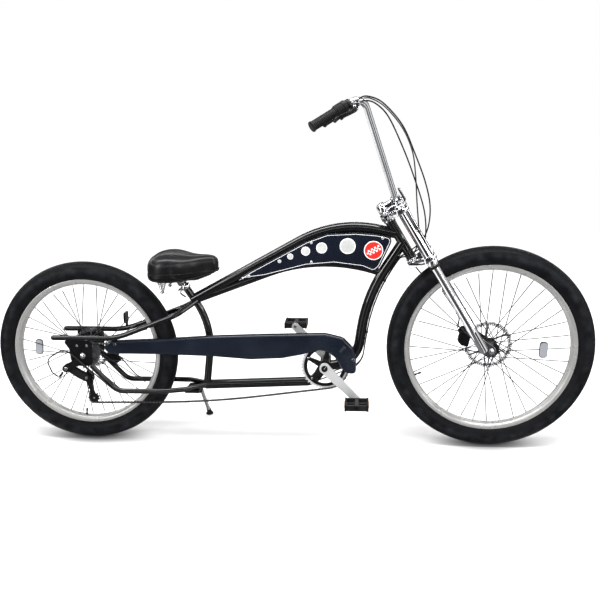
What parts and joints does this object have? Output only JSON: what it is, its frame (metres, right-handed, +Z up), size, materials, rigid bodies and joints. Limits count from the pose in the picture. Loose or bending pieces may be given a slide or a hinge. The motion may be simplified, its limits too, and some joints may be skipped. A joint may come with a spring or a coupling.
{
  "type": "chopper bicycle",
  "caption": "Long black cruiser bicycle with a stretched curved frame, high chrome handlebar, wire-spoked balloon wheels, enclosed chain run and a side stand.",
  "frame": {"origin": "ground under the middle of the bounding box, with the bicycle leaning on its side stand", "axes": "+X towards the front wheel, +Y to the rider's left, the side of the stand, +Z up from the ground"},
  "size_m": [2.269, 0.7539, 1.3179],
  "materials": {
    "black_paint": "gloss black paint with a clear coat",
    "panel_paint": "dark navy panel with pale pinstripe and discs",
    "guard_paint": "gloss black pressed steel",
    "chrome": "polished chrome plate",
    "steel": "zinc plated steel",
    "chain_steel": "oiled steel chain",
    "spoke_steel": "bright drawn wire",
    "rim_alloy": "polished rims",
    "hub_black": "black hub with a steel brake disc",
    "black_metal": "satin black",
    "lever_black": "satin black levers",
    "crank_alloy": "bright cold-forged arms",
    "saddle_cover": "black vinyl over foam",
    "tyre": "black rubber",
    "grip_rubber": "ribbed black rubber",
    "pedal_plastic": "black with amber reflectors",
    "red_lens": "red prismatic lens in a black bracket",
    "clear_lens": "clear prismatic lens",
    "cable_black": "black cable housing"
  },
  "bodies": {
    "frame": {"head_tube": "black_paint", "seat_tube": "black_paint", "upper_top_tube": "black_paint", "lower_top_tube": "black_paint", "down_tube": "black_paint", "boom_tube": "black_paint", "bb_shell": "black_paint", "seat_stays": "black_paint", "chain_stays": "black_paint", "dropouts": "black_paint", "rear_axle": "steel", "tank_panels": "panel_paint", "seat_post": "chrome", "saddle": "saddle_cover", "chain_guard": "guard_paint", "chain": "chain_steel", "derailleur": "black_metal", "rear_caliper": "black_metal", "tail_reflector": "red_lens", "stand_bracket": "chrome", "rear_cables": "cable_black"},
    "rear_wheel": {"rear_tyre": "tyre", "rear_rim": "rim_alloy", "rear_spokes": "spoke_steel", "rear_hub": "hub_black", "cassette": "steel"},
    "steering": {"fork_crowns": "chrome", "fork_legs": "chrome", "front_axle": "steel", "handlebar": "chrome", "stem": "chrome", "grips": "grip_rubber", "brake_levers": "lever_black", "front_caliper": "black_metal", "front_reflector": "clear_lens", "bar_cables": "cable_black"},
    "front_wheel": {"front_tyre": "tyre", "front_rim": "rim_alloy", "front_spokes": "spoke_steel", "front_hub": "hub_black"},
    "crank": {"cranks": "crank_alloy", "chainring": "steel"},
    "pedal_right": {"pedal_right": "pedal_plastic"},
    "pedal_left": {"pedal_left": "pedal_plastic"},
    "stand": {"stand_leg": "black_metal"}
  },
  "joints": [
    {"name": "steering", "type": "hinge", "parent": "frame", "child": "steering", "pos_m": [0.3746, -0.02994, 0.85493], "axis": [-0.5114, 0.0749, 0.856], "range_deg": [-45, 45]},
    {"name": "front_wheel_spin", "type": "hinge", "parent": "steering", "child": "front_wheel", "pos_m": [0.7515, -0.07136, 0.38154], "axis": [0, 0.9962, -0.0872], "continuous": true},
    {"name": "rear_wheel_spin", "type": "hinge", "parent": "frame", "child": "rear_wheel", "pos_m": [-0.7825, -0.07406, 0.35066], "axis": [0, 0.9962, -0.0872], "continuous": true},
    {"name": "crank_spin", "type": "hinge", "parent": "frame", "child": "crank", "pos_m": [0.1385, -0.0772, 0.3148], "axis": [0, 0.9962, -0.0872], "continuous": true},
    {"name": "pedal_right_spin", "type": "hinge", "parent": "crank", "child": "pedal_right", "pos_m": [0.25871, -0.08768, 0.19505], "axis": [0, 0.9962, -0.0872], "continuous": true},
    {"name": "pedal_left_spin", "type": "hinge", "parent": "crank", "child": "pedal_left", "pos_m": [0.01829, -0.06672, 0.43455], "axis": [0, 0.9962, -0.0872], "continuous": true},
    {"name": "stand_fold", "type": "hinge", "parent": "frame", "child": "stand", "pos_m": [-0.3595, -0.04452, 0.18345], "axis": [0, 0.9135, 0.4067], "range_deg": [0, 85]}
  ]
}
